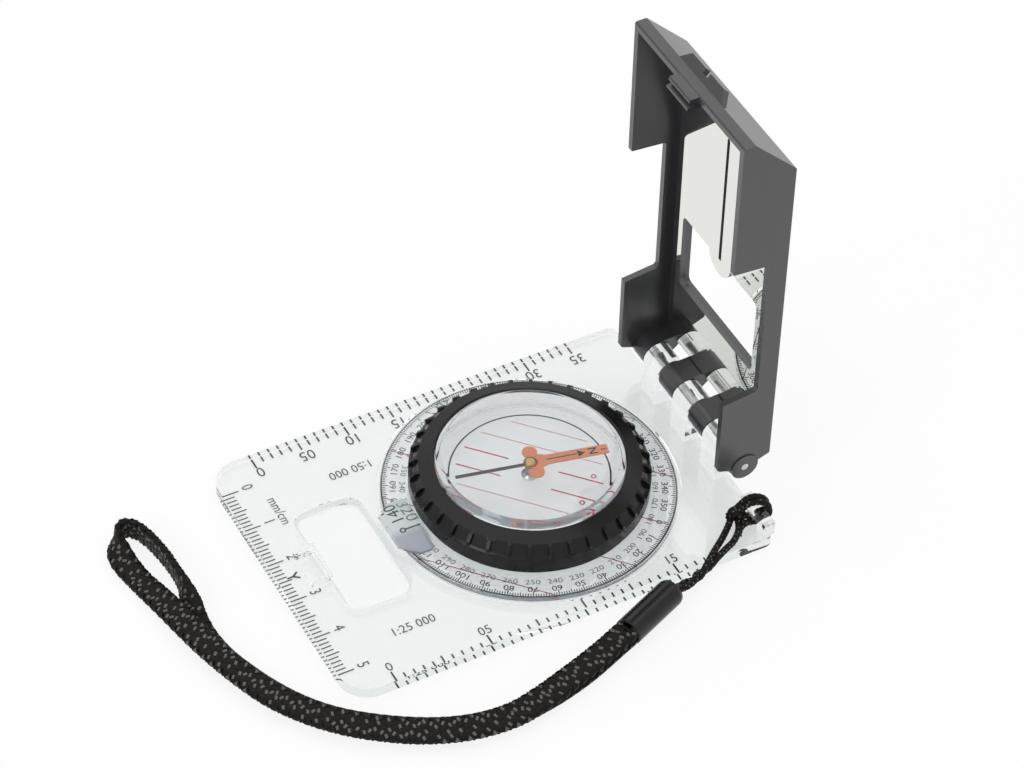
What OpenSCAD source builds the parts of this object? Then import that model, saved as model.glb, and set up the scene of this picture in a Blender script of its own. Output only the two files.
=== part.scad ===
// Sighting compass with a folding mirror cover, a clear base plate and a wrist strap.
// Millimetres, +Z up. The plate's underside is Z = 0 and the origin is the centre of
// the footprint with the cover open. +Y points to the hinge, +X to the lanyard side.

/* [Base plate] */
// Width over the two side scales
plate_w = 63.6; // [62:0.2:66]
// Distance from the dial axis to the free end
plate_front = 53.8; // [52:0.2:56]
// Distance from the dial axis to the hinge end
plate_rear = 36.4; // [36:0.2:38]
// Thickness of the clear plate
plate_t = 2.5; // [2.3:0.1:2.8]
// Corner radius at the free end
front_r = 6; // [3:0.5:8]
// Corner radius at the hinge end
rear_r = 2; // [1:0.5:3]

/* [Map lens] */
// Length of the lens across the plate
lens_w = 27.2; // [24:0.2:28]
// Width of the lens along the plate
lens_l = 13.9; // [12:0.1:14]
// Corner radius of the lens
lens_r = 3.5; // [2:0.5:5]
// Radius of the lens's curved face
lens_curve = 80; // [60:5:120]

/* [Dial] */
// Radius of the graduated flange
flange_r = 28.9; // [28.5:0.1:29.1]
// Radius of the neck that turns in the plate
neck_r = 17.85; // [17.8:0.01:17.88]
// Radius of the snap lip under the plate
lip_r = 18.5; // [18.3:0.1:18.7]
// Radius of the capsule wall
capsule_r = 18.4; // [18.2:0.1:18.4]
// Height of the window's flat top above the surface
capsule_top = 12.05; // [11.8:0.05:12.4]
// Outer radius of the grip ring's skirt
grip_r = 23.4; // [23:0.1:23.4]
// Number of thin ribs round the grip ring
grip_ribs = 36; // [24:4:40]

/* [Needle] */
// Length of the north arm from the pivot
north_l = 15.4; // [14:0.1:15.6]
// Length of the south arm from the pivot
south_l = 14.7; // [13:0.1:15.4]
// Direction of north from the plate's +X side
needle_angle = 77.8; // [0:0.1:360]

/* [Cover] */
// Length of the cover from the hinge axis to its tip
cover_l = 84; // [83:0.5:85]
// Width over the cover's side walls
cover_w = 38.9; // [38.5:0.1:39.3]
// Depth from the rim to the back
cover_d = 11.7; // [11.5:0.1:12]
// Thickness of the side walls
cover_wall = 1.3; // [1.2:0.1:1.6]
// Opening angle from the closed position
open_angle = 89; // [60:1:90]

/* [Hinge] */
// Distance of the hinge axis behind the dial axis
hinge_y = 36.1; // [36:0.05:36.3]
// Height of the hinge axis above the surface
hinge_z = 10.1; // [10:0.05:10.4]
// Radius of the hinge pin
pin_r = 0.75; // [0.7:0.05:0.8]

/* [Wrist strap] */
// Width of the braided tape
tape_w = 5; // [4.6:0.1:5.2]
// Thickness of the braided tape
tape_t = 1.3; // [1.1:0.1:1.4]
// Diameter of the thin tie cord
tie_d = 1.4; // [1.2:0.1:1.5]
// Radius of the ferrule
ferrule_r = 2.8; // [2.6:0.1:3]

/* [Hidden] */

// A smooth round edge everywhere that is not a low-sided polygon
$fn = 96;

// Cutting depth past a face
eps = 1;

// Dial seat in the plate
recess_r = 29.6;
recess_z = 1.9;
seat_r = neck_r + 0.05;
lip_seat_r = lip_r + 0.5;
lip_seat_z = 1.05;
flange_z0 = recess_z + 0.1;
flange_z1 = 3.3;
disc_z0 = 0.3;
floor_r = 15.3;
floor_z = 1.75;

// Capsule wall and window
wall_in_r = 16.4;
wall_top = 11.3;
window_r = 17.4;
window_z0 = 10.6;
window_top_r = 16;

// Grip ring profile
grip_top = 10.8;
grip_crease_r = 21.5;
grip_crease_z = 9.95;
grip_neck_r = 22.6;
rib_t = 0.7;
rib_phase = 1.4;

// Needle parts on the pivot
pivot_tip = 7.35;
magnet_z0 = 6.9;
magnet_t = 0.5;
magnet_w = 0.6;
pointer_t = 0.35;
hub_z0 = magnet_z0 + magnet_t;
hub_top = 8.5;
hub_r = 1.35;
jewel_r = 0.7;
jewel_z0 = 6.7;
jewel_z1 = 7.8;
lobe_r = 1.5;

// Map lens seat
lens_x = -0.2;
lens_y = -37.7;
lens_ledge_z = 0.6;
lens_ledge_w = 0.7;
lens_gap = 0.12;
lens_top = 3.4;

// Bearing magnifier: clear block on the plate that bridges the flange
mag_top = 5.9;
mag_curve = 18;
mag_under = 3.65;
mag_outline = [[-7, -23.9], [7, -23.9], [7, -26.9], [4.3, -30.4], [-4.3, -30.4], [-7, -26.9]];

// Catch for the cover's tongue
catch_w = 9;
catch_y0 = -48.4;
catch_y1 = -44.3;
catch_h = 1.5;
catch_pocket_w = 7.9;
catch_pocket_y = -45.2;
catch_floor_z = 1.5;
catch_lead = 1.9;

// Lanyard post at the rear corner on the +X side
post_x0 = 22.2;
post_x1 = 31.3;
post_y0 = 33.9;
post_top = 5.6;
eye_x0 = 23.7;
eye_x1 = 28.9;
eye_z1 = 4.1;

// Hinge knuckles: clear ones on the plate, dark ones in the cover
knuckle_r = 3.1;
plate_knuckles = [[-14.2, -8.7], [-2.75, 2.75], [8.7, 14.2]];
cover_knuckles = [[-8.4, -3.05], [3.05, 8.4], [-18.4, -14.5], [14.5, 18.4]];
cover_knuckle_r = 3;
pin_run = 0.05;
lug_r = 2.9;
lug_boss = 0.25;
knuckle_gap = 0.25;

// Cover sections: w is the depth behind the rim, v the distance from the hinge axis
pin_w = 6;
strip_w = 2.4;
slope_v = cover_l - cover_d + strip_w;
cover_back_t = 1.3;
cover_edge = 0.2;
back_foot_v = 3.3;
mirror_t = 0.9;
mirror_half = 15.1;
mirror_v0 = 3.5;
mirror_v1 = 57.2;
mirror_r = 2;
notch_v0 = 19.9;
notch_v1 = 52.6;
notch_d = 7.5;
notch_flare = 0.7;
notch_r = 0.8;
window_v0 = 18.9;
window_v1 = 36.6;
window_w = 27.2;
sight_corner = 1.2;
mirror_tongue_r = 3.8;
mirror_tongue_v = 36.8;
tab_w = 7.4;
tab_l = 2;
tab_lip = 0.35;
sight_base = 7.5;
sight_top = 5.6;
sight_h = 2.25;
sight_t = 1.4;
sight_notch_w = 1.6;
sight_notch_d = 1;
sight_w = 0.9;
sight_v1 = 66.6;

// Centre of the footprint, from the free end to the cover's back
cover_back_y = hinge_y + (cover_d - pin_w) * sin(open_angle);
dial_y = (plate_front - cover_back_y) / 2;

// Tape route: x, y, height and roll, from the ferrule round the eye and back again.
// Roll 0 lies flat, 90 stands on edge.
tape_route = [
  [40.7, -1.0, 3.3, 0], [41.5, -3.4, 3.1, 0], [42.6, -6.8, 2.7, 0], [44.2, -11.5, 2.6, 4],
  [45.8, -16.8, 2.5, 8], [47.3, -22.2, 2.4, 12], [48.4, -28.2, 2.3, 12], [48.2, -34.2, 2.3, 12],
  [46.9, -40.2, 2.3, 12], [44.3, -46.4, 2.3, 12], [40.9, -51.9, 2.3, 12], [36.7, -57.2, 2.3, 12],
  [31.4, -62.1, 2.3, 12], [24.8, -66.4, 2.3, 12], [17.2, -69.5, 2.3, 12], [9.0, -72.0, 2.3, 12],
  [2.6, -73.5, 2.4, 14], [-3.2, -74.4, 1.9, 17], [-8.2, -75.2, 1.2, 8], [-13.2, -76.2, 0.8, 0],
  [-17.8, -77.0, 1.2, 15], [-21.4, -77.0, 2.0, 45], [-23.9, -76.0, 2.6, 80], [-24.9, -74.2, 2.6, 90],
  [-23.6, -72.2, 2.6, 90], [-20.6, -71.0, 2.6, 90], [-17.0, -70.3, 2.6, 90], [-13.5, -69.9, 2.6, 90],
  [-10.2, -69.8, 2.6, 90], [-7.2, -69.9, 2.6, 98], [-4.6, -70.2, 2.4, 118], [-2.0, -70.6, 1.9, 142],
  [1.0, -71.2, 1.3, 165], [5.6, -71.2, 0.9, 176], [11.2, -70.2, 0.7, 180], [16.6, -68.4, 0.7, 180],
  [22.0, -66.1, 0.7, 180], [27.0, -63.3, 0.7, 180], [31.4, -60.0, 0.7, 180], [35.0, -56.4, 0.7, 180],
  [38.3, -52.2, 0.7, 180], [41.2, -47.8, 0.7, 180], [43.7, -43.2, 0.7, 180], [45.6, -38.4, 0.7, 180],
  [46.8, -33.4, 0.7, 180], [47.2, -28.0, 0.7, 180], [46.7, -22.4, 0.7, 180], [45.6, -16.9, 0.7, 180],
  [44.2, -11.6, 0.9, 180], [42.6, -6.9, 1.2, 180], [41.5, -3.5, 1.6, 180], [40.7, -1.1, 1.8, 180]
];

// Ferrule axis on the surface, from the tie's end to the tape's end
ferrule_a = [35.4, 11.8, 2.8];
ferrule_b = [40.8, -1.0, 2.8];

// Thin tie cord: two strands from the knot to the ferrule, and the hitch round the post
left_route = [
  [24.0, 31.4, 3.4], [26.0, 29.4, 3.2], [28.4, 26.6, 3.2], [30.4, 23.9, 3.3], [31.9, 21.9, 3.2],
  [33.0, 20.2, 2.5], [33.9, 18.6, 1.6], [33.6, 17.0, 0.9], [33.6, 15.4, 1.2], [34.7, 13.8, 2.2],
  [35.5, 11.9, 3.5]
];
right_route = [
  [25.4, 32.0, 3.4], [28.0, 30.4, 3.2], [30.1, 28.1, 3.2], [31.4, 25.4, 3.3], [32.4, 23.0, 3.0],
  [32.8, 21.0, 1.6], [32.6, 19.2, 0.9], [33.5, 17.9, 1.9], [34.9, 16.6, 2.3], [35.3, 14.6, 2.0],
  [35.3, 12.0, 2.1]
];
hitch_route = [
  [24.5, 32.2, 4.0], [24.5, 32.6, 5.8], [24.7, 34.1, 7.0], [25.1, 36.0, 7.0], [25.6, 37.5, 5.8],
  [26.1, 37.6, 4.0], [26.2, 36.3, 3.3], [26.0, 34.6, 3.3], [25.4, 33.0, 3.4]
];
knot_at = [24.4, 32.0, 3.9];
tie_sides = 8;

module on_dial_axis() {
  translate([0, dial_y, 0]) children();
}

// Rectangle with round corners, centred
module rounded_rect(w, l, r) {
  square([w - 2 * r, l], center = true);
  square([w, l - 2 * r], center = true);
  for (sx = [-1, 1], sy = [-1, 1])
    translate([sx * (w / 2 - r), sy * (l / 2 - r)]) circle(r);
}

module plate_outline() {
  translate([-plate_w / 2, front_r - plate_front])
    square([plate_w, plate_rear + plate_front - front_r - rear_r]);
  translate([front_r - plate_w / 2, -plate_front]) square([plate_w - 2 * front_r, front_r]);
  translate([rear_r - plate_w / 2, plate_rear - rear_r]) square([plate_w - 2 * rear_r, rear_r]);
  for (s = [-1, 1]) {
    translate([s * (plate_w / 2 - front_r), front_r - plate_front]) circle(front_r);
    translate([s * (plate_w / 2 - rear_r), plate_rear - rear_r]) circle(rear_r);
  }
}

// Side view of a clear knuckle, hinge axis at the origin, +X towards the hinge end
module plate_knuckle_side() {
  foot = plate_t - hinge_z;
  circle(knuckle_r);
  polygon([[-knuckle_r, 0], [-knuckle_r, foot], [0.1, foot], [0.1, -4.4], [1.8, -2.5], [0, 0]]);
}

// Extrudes a side view drawn in Y and Z along X from x0 to x1
module along_x(x0, x1) {
  translate([x0, 0, 0]) rotate([90, 0, 90]) linear_extrude(x1 - x0) children();
}

module catch_body() {
  difference() {
    translate([0, 0, plate_t]) along_x(-catch_w / 2, catch_w / 2)
      polygon([[catch_y0, 0], [catch_y1, 0], [catch_y1, catch_h], [catch_y0 + catch_lead, catch_h],
               [catch_y0, 0.4]]);
    translate([-catch_pocket_w / 2, catch_y0 - eps, plate_t])
      cube([catch_pocket_w, catch_pocket_y - catch_y0 + eps, catch_h + eps]);
  }
}

module lanyard_post() {
  difference() {
    along_x(post_x0, post_x1) {
      translate([post_y0 + 1.2, post_top - 1.2]) circle(1.2);
      translate([post_y0, plate_t]) square([plate_rear - post_y0, post_top - 1.2 - plate_t]);
      translate([post_y0 + 1.2, plate_t]) square([plate_rear - post_y0 - 1.2, post_top - plate_t]);
    }
    translate([eye_x0, post_y0 - eps, plate_t])
      cube([eye_x1 - eye_x0, plate_rear - post_y0 + 2 * eps, eye_z1 - plate_t]);
  }
}

module baseplate() {
  color([0.93, 0.95, 0.96, 0.5]) on_dial_axis() difference() {
    union() {
      linear_extrude(plate_t) plate_outline();
      catch_body();
      lanyard_post();
      for (k = plate_knuckles)
        translate([0, hinge_y, hinge_z]) along_x(k[0], k[1]) plate_knuckle_side();
    }
    translate([0, 0, recess_z]) cylinder(r = recess_r, h = plate_t);
    translate([0, 0, -eps]) cylinder(r = seat_r, h = plate_t + 2 * eps);
    translate([0, 0, -eps]) cylinder(r = lip_seat_r, h = lip_seat_z + eps);
    translate([-catch_pocket_w / 2, catch_y0, catch_floor_z])
      cube([catch_pocket_w, catch_pocket_y - catch_y0, plate_t]);
    translate([lens_x, lens_y, lens_ledge_z]) linear_extrude(plate_t)
      rounded_rect(lens_w + 2 * lens_gap, lens_l + 2 * lens_gap, lens_r + lens_gap);
    translate([lens_x, lens_y, -eps]) linear_extrude(plate_t)
      rounded_rect(lens_w - 2 * lens_ledge_w, lens_l - 2 * lens_ledge_w, lens_r - lens_ledge_w);
    translate([-plate_w / 2, hinge_y, hinge_z]) rotate([0, 90, 0])
      cylinder(r = pin_r + pin_run, h = plate_w);
  }
}

module map_lens() {
  color([0.95, 0.97, 0.98, 0.5]) on_dial_axis() translate([lens_x, lens_y, 0]) intersection() {
    translate([0, 0, lens_ledge_z]) linear_extrude(lens_top) rounded_rect(lens_w, lens_l, lens_r);
    translate([0, 0, lens_top - lens_curve]) sphere(lens_curve, $fn = 300);
  }
}

module bearing_magnifier() {
  color([0.95, 0.97, 0.98, 0.5]) on_dial_axis() intersection() {
    difference() {
      translate([0, 0, plate_t]) linear_extrude(mag_top) polygon(mag_outline);
      translate([0, 0, -eps]) cylinder(r = recess_r, h = mag_under + eps);
    }
    translate([0, -26.8, mag_top - mag_curve]) sphere(mag_curve);
  }
}

module dial_disc() {
  color([0.93, 0.95, 0.96, 0.5]) on_dial_axis() rotate_extrude()
    polygon([
      [0, disc_z0], [neck_r - 0.1, disc_z0], [lip_r, disc_z0 + 0.3], [lip_r, lip_seat_z - 0.1],
      [neck_r, lip_seat_z - 0.1], [neck_r, flange_z0], [flange_r - 0.2, flange_z0],
      [flange_r, flange_z0 + 0.2], [flange_r, flange_z1 - 0.3], [flange_r - 0.3, flange_z1],
      [floor_r, flange_z1], [floor_r, floor_z], [0, floor_z]
    ]);
}

module capsule_wall() {
  color([0.95, 0.96, 0.97, 0.5]) on_dial_axis() rotate_extrude()
    polygon([
      [wall_in_r, flange_z1], [capsule_r, flange_z1], [capsule_r, wall_top - 0.35],
      [capsule_r - 0.35, wall_top], [window_r, wall_top], [window_r, window_z0], [wall_in_r, window_z0]
    ]);
}

module capsule_window() {
  color([0.95, 0.97, 0.98, 0.5]) on_dial_axis() rotate_extrude()
    polygon([
      [0, window_z0], [window_r, window_z0], [window_r, wall_top + 0.1],
      [window_top_r, capsule_top], [0, capsule_top]
    ]);
}

// One rib: a thin radial fin over the ring's sloping shoulder
module grip_rib() {
  rotate([90, 0, 0]) linear_extrude(rib_t, center = true)
    polygon([
      [grip_crease_r - 1, grip_crease_z - 1], [grip_crease_r, grip_crease_z],
      [grip_crease_r + 0.7, grip_crease_z - 0.05], [grip_r - 0.05, 8.75], [grip_r - 0.05, 7.4],
      [grip_crease_r - 1, 7.4]
    ]);
}

module grip_ring() {
  color([0.13, 0.13, 0.14]) on_dial_axis() {
    rotate_extrude()
      polygon([
        [capsule_r, flange_z1], [grip_neck_r, flange_z1], [grip_neck_r, 4.2], [grip_r, 4.8],
        [grip_r, 7.7], [grip_r - 0.35, 8.05], [grip_r - 0.8, 8.35], [grip_crease_r, grip_crease_z],
        [capsule_r + 0.5, grip_top], [capsule_r + 0.25, grip_top - 0.1],
        [capsule_r + 0.25, grip_top - 0.8], [capsule_r, grip_top - 0.8]
      ]);
    for (i = [0 : grip_ribs - 1]) rotate(rib_phase + i * 360 / grip_ribs) grip_rib();
  }
}

module needle_pivot() {
  color([0.75, 0.76, 0.78]) on_dial_axis() rotate_extrude()
    polygon([
      [0, floor_z], [1.6, floor_z], [1.6, floor_z + 0.5], [0.9, floor_z + 0.9], [0.45, floor_z + 1.4],
      [0.45, pivot_tip - 1.2], [0, pivot_tip]
    ]);
}

// Brass cap that holds the jewel over the eye of the magnet
module needle_hub() {
  color([0.83, 0.66, 0.28]) on_dial_axis() rotate_extrude()
    polygon([
      [jewel_r, hub_z0], [hub_r, hub_z0], [hub_r, hub_top - 0.6], [hub_r - 0.15, hub_top - 0.25],
      [hub_r - 0.5, hub_top - 0.05], [0, hub_top], [0, jewel_z1], [jewel_r, jewel_z1]
    ]);
}

module needle_jewel() {
  color([0.7, 0.1, 0.25]) on_dial_axis() rotate_extrude()
    polygon([
      [0.5, jewel_z0], [jewel_r, jewel_z0], [jewel_r, jewel_z1], [0, jewel_z1],
      [0, pivot_tip + 0.03]
    ]);
}

module needle_magnet() {
  color([0.35, 0.36, 0.38]) on_dial_axis() translate([0, 0, magnet_z0]) linear_extrude(magnet_t)
    rotate(needle_angle) difference() {
      union() {
        translate([-south_l, -magnet_w / 2]) square([south_l + north_l - 1, magnet_w]);
        circle(hub_r);
      }
      circle(jewel_r);
    }
}

// Painted pointer on the north arm: a tapered arm with two round lobes beside the hub
module needle_pointer() {
  color([0.95, 0.45, 0.3]) on_dial_axis() rotate(needle_angle)
    translate([0, 0, hub_z0]) linear_extrude(pointer_t) difference() {
      union() {
        polygon([[0.5, -2.4], [3.4, -1.2], [north_l, -1.15], [north_l, 1.15], [3.4, 1.2], [0.5, 2.4]]);
        for (s = [-1, 1]) translate([0.6, s * 2.6]) circle(lobe_r);
      }
      circle(hub_r);
    }
}

// Places cover pieces: x across, y behind the hinge axis, z away from it, at the open angle
module on_hinge() {
  on_dial_axis() translate([0, hinge_y, hinge_z]) rotate([90 - open_angle, 0, 0]) children();
}

// Extrudes a section drawn as [w, v] along x from x0 to x1
module cover_section(x0, x1) {
  translate([0, -pin_w, 0]) along_x(x0, x1) children();
}

// Extrudes a face view drawn as [x, v] from depth w0 to w1
module cover_face(w0, w1) {
  translate([0, w1 - pin_w, 0]) rotate([90, 0, 0]) linear_extrude(w1 - w0) children();
}

module cover_outer() {
  intersection() {
    cover_section(-cover_w / 2, cover_w / 2) {
      polygon([
        [0.3, 1.2], [0, 1.5], [0, cover_l - 0.3], [0.3, cover_l], [strip_w, cover_l],
        [cover_d - 0.3, slope_v + 0.3], [cover_d, slope_v - 0.2], [cover_d, 1.3], [8.7, 0.2],
        [2.6, 0.2]
      ]);
      translate([pin_w, 0]) circle(lug_r);
    }
    translate([0, -pin_w, -lug_r - eps]) linear_extrude(cover_l + lug_r + 2 * eps)
      polygon([
        [-cover_w / 2, 0], [cover_w / 2, 0], [cover_w / 2, cover_d - cover_edge],
        [cover_w / 2 - cover_edge, cover_d], [cover_edge - cover_w / 2, cover_d],
        [-cover_w / 2, cover_d - cover_edge]
      ]);
  }
}

module cover_cavity() {
  in_w = cover_w / 2 - cover_wall;
  slope_in = cover_l - 2.12 + strip_w;
  back_in = cover_d - cover_back_t;
  cover_section(-in_w, in_w)
    polygon([
      [-eps, -lug_r - eps], [-eps, cover_l - 1.5], [slope_in - cover_l + 1.5, cover_l - 1.5],
      [back_in, slope_in - back_in], [back_in, -lug_r - eps]
    ]);
}

module cover_knuckle() {
  circle(cover_knuckle_r);
  polygon([
    [0, -cover_knuckle_r], [2.4, -1.8], [cover_d - pin_w, 1.2], [cover_d - pin_w, 3.2],
    [0, cover_knuckle_r]
  ]);
}

// Sighting window with the mirror's tongue hanging into it
module sight_window() {
  difference() {
    translate([0, (window_v0 + window_v1) / 2])
      rounded_rect(window_w, window_v1 - window_v0, sight_corner);
    translate([0, mirror_tongue_v]) circle(mirror_tongue_r);
  }
}

// Hooked tab that snaps into the plate's catch when the cover is closed
module latch_tongue() {
  lip_v = hinge_y - catch_pocket_y + 0.2;
  cover_section(-tab_w / 2, tab_w / 2)
    polygon([
      [0.6, cover_l - 0.1], [-tab_l + 0.3, cover_l - 0.1], [-tab_l, cover_l - 0.4],
      [-tab_l, cover_l - 0.8], [-tab_l + 0.8, lip_v + 1.1], [-tab_l + 0.8, lip_v + 0.8],
      [-tab_l - tab_lip, lip_v + 0.5], [-tab_l - tab_lip, lip_v + 0.1], [0.6, lip_v]
    ]);
}

// Sighting plate standing square on the slope, with a notch to look through
module sight_plate() {
  translate([0, strip_w - pin_w, cover_l]) rotate([45, 0, 0])
    translate([0, 0, -sight_t]) linear_extrude(sight_t) difference() {
      polygon([
        [-sight_base, -1], [sight_base, -1], [sight_base, 0], [sight_top, sight_h],
        [-sight_top, sight_h], [-sight_base, 0]
      ]);
      translate([-sight_notch_w / 2, sight_h - sight_notch_d]) square([sight_notch_w, sight_h]);
    }
}

// Opening in the side walls that clears the grip ring, wider towards the rim
module ring_notch() {
  n0 = notch_v0;
  n1 = notch_v1;
  polygon([
    [-eps, n0 - notch_flare], [0, n0 - notch_flare], [notch_d - notch_r, n0], [notch_d, n0 + notch_r],
    [notch_d, n1 - notch_r], [notch_d - notch_r, n1], [0, n1 + notch_flare], [-eps, n1 + notch_flare]
  ]);
  for (v = [n0 + notch_r, n1 - notch_r]) translate([notch_d - notch_r, v]) circle(notch_r);
}

module cover_shell() {
  color([0.27, 0.27, 0.29]) on_hinge() difference() {
    union() {
      difference() {
        cover_outer();
        cover_cavity();
      }
      for (k = cover_knuckles) along_x(k[0], k[1]) cover_knuckle();
      for (x = [-cover_w / 2 - lug_boss, cover_w / 2 - 0.1])
        along_x(x, x + lug_boss + 0.1) circle(lug_r);
      latch_tongue();
      sight_plate();
    }
    translate([-cover_w / 2 - eps, 0, 0]) rotate([0, 90, 0])
      cylinder(r = pin_r, h = cover_w + 2 * eps);
    cover_section(-cover_w, cover_w) ring_notch();
    for (k = plate_knuckles)
      translate([k[0] - knuckle_gap, knuckle_r + 0.2, -lug_r - eps])
        cube([k[1] - k[0] + 2 * knuckle_gap, cover_d, lug_r + eps + back_foot_v]);
    cover_face(cover_d - cover_back_t - eps, cover_d + eps) sight_window();
  }
}

// Outline of the mirror: round lower corners and a tapered top
module mirror_outline() {
  in_half = mirror_half - mirror_r;
  translate([-in_half, mirror_v0]) square([2 * in_half, mirror_v1 - mirror_v0 - mirror_r]);
  translate([-mirror_half, mirror_v0 + mirror_r])
    square([2 * mirror_half, mirror_v1 - mirror_v0 - 2 * mirror_r]);
  for (s = [-1, 1], v = [mirror_v0 + mirror_r, mirror_v1 - mirror_r])
    translate([s * in_half, v]) circle(mirror_r);
  polygon([
    [-in_half, mirror_v1 - 7], [in_half, mirror_v1 - 7], [mirror_half - 0.45, mirror_v1 - 0.73],
    [6, 67], [4, 69], [-4, 69], [-6, 67], [0.45 - mirror_half, mirror_v1 - 0.73]
  ]);
}

module mirror() {
  color([0.82, 0.86, 0.85]) on_hinge() cover_face(cover_d - cover_back_t - mirror_t,
                                                  cover_d - cover_back_t)
    difference() {
      mirror_outline();
      sight_window();
      translate([-sight_w / 2, window_v1]) square([sight_w, sight_v1 - window_v1]);
      translate([0, sight_v1]) circle(sight_w / 2);
    }
}

module hinge_pin() {
  color([0.8, 0.8, 0.82]) on_hinge() rotate([0, 90, 0])
    cylinder(r = pin_r, h = cover_w + 2 * lug_boss, center = true);
}

// Point on a smooth curve through a list of points, u from 0 to len(p) - 1
function clamp_at(p, i) = p[max(0, min(len(p) - 1, i))];
function spline_at(p, i, t) =
  let (a = clamp_at(p, i - 1), b = clamp_at(p, i), c = clamp_at(p, i + 1), d = clamp_at(p, i + 2))
  0.5 * (2 * b + (c - a) * t + (2 * a - 5 * b + 4 * c - d) * t * t
         + (3 * b - a - 3 * c + d) * t * t * t);
function spline(p, steps) = [
  for (i = [0 : len(p) - 2], k = [0 : steps - 1]) spline_at(p, i, k / steps),
  p[len(p) - 1]
];
function unit(v) = v / norm(v);
function tangent(p, i) = unit(clamp_at(p, i + 1) - clamp_at(p, i - 1));
function flat(p) = [p[0], p[1], p[2]];

// Sections of the cord and the tape, as parts of their width and thickness
cord_section = [for (k = [0 : tie_sides - 1])
  let (q = (k + 0.5) * 360 / tie_sides) [cos(q) / 2, sin(q) / 2]];
tape_section = [
  [0.5, 0.22], [0.38, 0.5], [-0.38, 0.5], [-0.5, 0.22],
  [-0.5, -0.22], [-0.38, -0.5], [0.38, -0.5], [0.5, -0.22]
];

// A section laid at c, its width along a and its thickness along b
function ring_at(section, c, a, b) = [for (q = section) c + a * q[0] + b * q[1]];

// Walls between rings, and a flat cap on each end
function tube_faces(rings, sides) = concat(
  [[for (k = [0 : sides - 1]) k]],
  [for (i = [0 : rings - 2], k = [0 : sides - 1])
    let (a = i * sides + k, b = i * sides + (k + 1) % sides) [a, a + sides, b + sides]],
  [for (i = [0 : rings - 2], k = [0 : sides - 1])
    let (a = i * sides + k, b = i * sides + (k + 1) % sides) [a, b + sides, b]],
  [[for (k = [sides - 1 : -1 : 0]) (rings - 1) * sides + k]]
);

// Round cord through a route
module round_cord(route, d, steps) {
  p = spline(route, steps);
  rings = [
    for (i = [0 : len(p) - 1])
      let (t = tangent(p, i), side = unit(cross(t, [0.2, 0.1, 1])), up = cross(side, t))
      each ring_at(cord_section, p[i], side * d, up * d)
  ];
  polyhedron(rings, tube_faces(len(p), tie_sides), convexity = 6);
}

// Flat tape through a route whose fourth value is its roll
module tape(route, w, t) {
  p = [for (q = route) flat(q)];
  rings = [
    for (i = [0 : len(p) - 1])
      let (dir = tangent(p, i), side = unit(cross(dir, [0, 0, 1])), up = cross(side, dir),
           r = route[i][3], wide = side * cos(r) + up * sin(r), thin = cross(wide, dir))
      each ring_at(tape_section, p[i], wide * w, thin * t)
  ];
  polyhedron(rings, tube_faces(len(p), len(tape_section)), convexity = 6);
}

module tie_hitch() {
  color([0.1, 0.1, 0.1]) on_dial_axis() round_cord(hitch_route, tie_d, 2);
}

module tie_knot() {
  color([0.1, 0.1, 0.1]) on_dial_axis() translate(knot_at) rotate([90, 0, 35]) rotate_extrude()
    polygon([[0, -1.4], [0.9, -1.2], [1.35, 0], [0.9, 1.2], [0, 1.4]]);
}

module tie_strand_left() {
  color([0.1, 0.1, 0.1]) on_dial_axis() round_cord(left_route, tie_d, 1);
}

module tie_strand_right() {
  color([0.1, 0.1, 0.1]) on_dial_axis() round_cord(right_route, tie_d, 1);
}

module strap_ferrule() {
  axis = ferrule_b - ferrule_a;
  yaw = atan2(axis[1], axis[0]);
  color([0.06, 0.06, 0.07]) on_dial_axis() translate(ferrule_a) rotate([0, 90, yaw])
    rotate_extrude()
      polygon([
        [0, 0.9], [1.6, 0.9], [1.6, 0.1], [2.1, 0.1], [2.6, 0.5], [ferrule_r, 1.2],
        [ferrule_r, norm(axis) - 0.2], [ferrule_r - 0.3, norm(axis)], [2.2, norm(axis)],
        [2.2, norm(axis) - 1.2], [0, norm(axis) - 1.2]
      ]);
}

module strap_tape() {
  color([0.12, 0.12, 0.11]) on_dial_axis() tape(tape_route, tape_w, tape_t);
}

baseplate();
map_lens();
bearing_magnifier();
dial_disc();
capsule_wall();
capsule_window();
grip_ring();
needle_pivot();
needle_hub();
needle_jewel();
needle_magnet();
needle_pointer();
cover_shell();
mirror();
hinge_pin();
tie_hitch();
tie_knot();
tie_strand_left();
tie_strand_right();
strap_ferrule();
strap_tape();
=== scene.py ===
# Sighting compass, open on a pale floor, with its wrist strap laid round it.
import math

import bpy
from mathutils import Matrix, Vector


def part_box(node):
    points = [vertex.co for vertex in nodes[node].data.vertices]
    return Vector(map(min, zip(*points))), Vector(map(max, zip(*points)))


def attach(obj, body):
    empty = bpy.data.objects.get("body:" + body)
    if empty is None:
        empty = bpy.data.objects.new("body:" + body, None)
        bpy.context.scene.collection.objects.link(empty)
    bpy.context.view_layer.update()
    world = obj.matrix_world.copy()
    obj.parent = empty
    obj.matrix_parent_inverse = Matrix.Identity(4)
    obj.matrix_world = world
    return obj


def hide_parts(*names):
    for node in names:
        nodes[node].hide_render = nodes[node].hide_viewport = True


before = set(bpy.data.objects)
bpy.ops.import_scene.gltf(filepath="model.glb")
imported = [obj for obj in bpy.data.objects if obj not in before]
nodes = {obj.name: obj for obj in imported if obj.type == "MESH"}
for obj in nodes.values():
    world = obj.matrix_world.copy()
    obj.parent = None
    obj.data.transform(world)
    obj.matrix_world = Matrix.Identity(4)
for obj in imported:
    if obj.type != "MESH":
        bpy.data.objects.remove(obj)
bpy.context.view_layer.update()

bpy.context.scene.view_settings.view_transform = "Standard"
mm = 0.001
discLow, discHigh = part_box("dial_disc")
dialCentre = Vector(((discLow.x + discHigh.x) / 2, (discLow.y + discHigh.y) / 2, 0))


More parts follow.
